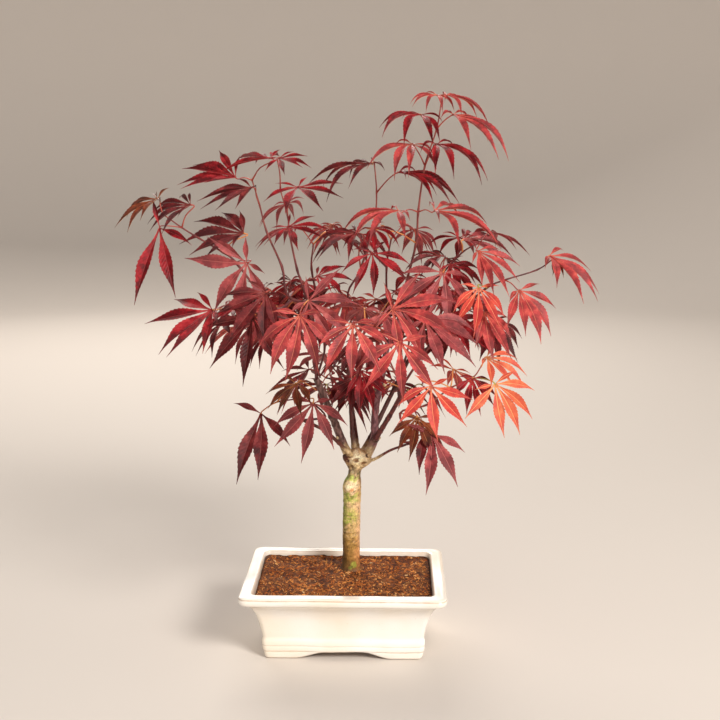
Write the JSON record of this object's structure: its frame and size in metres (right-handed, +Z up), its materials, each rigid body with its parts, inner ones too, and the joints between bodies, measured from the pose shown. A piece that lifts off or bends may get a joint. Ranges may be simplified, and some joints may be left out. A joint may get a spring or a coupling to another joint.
{
  "type": "potted japanese maple bonsai",
  "caption": "Small red-leaved Japanese maple bonsai with an open crown, standing in a glazed cream rectangular pot of bark-chip soil.",
  "frame": {"origin": "middle of the whole plant's bounding box, on the level surface that the pot's feet stand on", "axes": "+Z up; X along the pot's long sides; the front of the tree and pot faces -Y"},
  "size_m": [0.473, 0.38, 0.545],
  "materials": {
    "glaze": "cream-white gloss glaze, a little thinner and warmer along the edges",
    "bark_chips": "matt reddish-brown bark and fibre chips",
    "trunk_bark": "smooth tan and green mottled bark with pale rings and dark pores",
    "young_bark": "smooth satin purple-brown bark",
    "leaf_crimson": "satin crimson leaf",
    "leaf_rose": "satin rose-red leaf",
    "leaf_burgundy": "satin dark burgundy leaf",
    "leaf_coral": "satin coral-orange leaf"
  },
  "bodies": {
    "root": {"pot": "glaze", "soil": "bark_chips", "trunk": "trunk_bark", "bough_left": "young_bark", "bough_right": "young_bark", "bough_front_right": "young_bark", "bough_middle": "young_bark", "bough_back_right": "young_bark", "bough_back_low": "young_bark", "bough_low_right": "young_bark", "bough_low_left": "young_bark", "foliage_top": "leaf_crimson", "foliage_spire": "leaf_rose", "foliage_short_shoot": "leaf_crimson", "foliage_upper_left": "leaf_crimson", "foliage_far_left": "leaf_crimson", "foliage_left": "leaf_rose", "foliage_low_side": "leaf_burgundy", "foliage_heart": "leaf_burgundy", "foliage_centre": "leaf_rose", "foliage_centre_right": "leaf_rose", "foliage_front": "leaf_crimson", "foliage_right": "leaf_crimson", "foliage_far_right": "leaf_crimson", "foliage_right_low": "leaf_coral", "foliage_low_right": "leaf_burgundy", "foliage_low_left": "leaf_burgundy", "foliage_back_left": "leaf_crimson", "foliage_back_right": "leaf_crimson", "foliage_back_low": "leaf_burgundy", "foliage_back_top": "leaf_rose"}
  },
  "joints": []
}
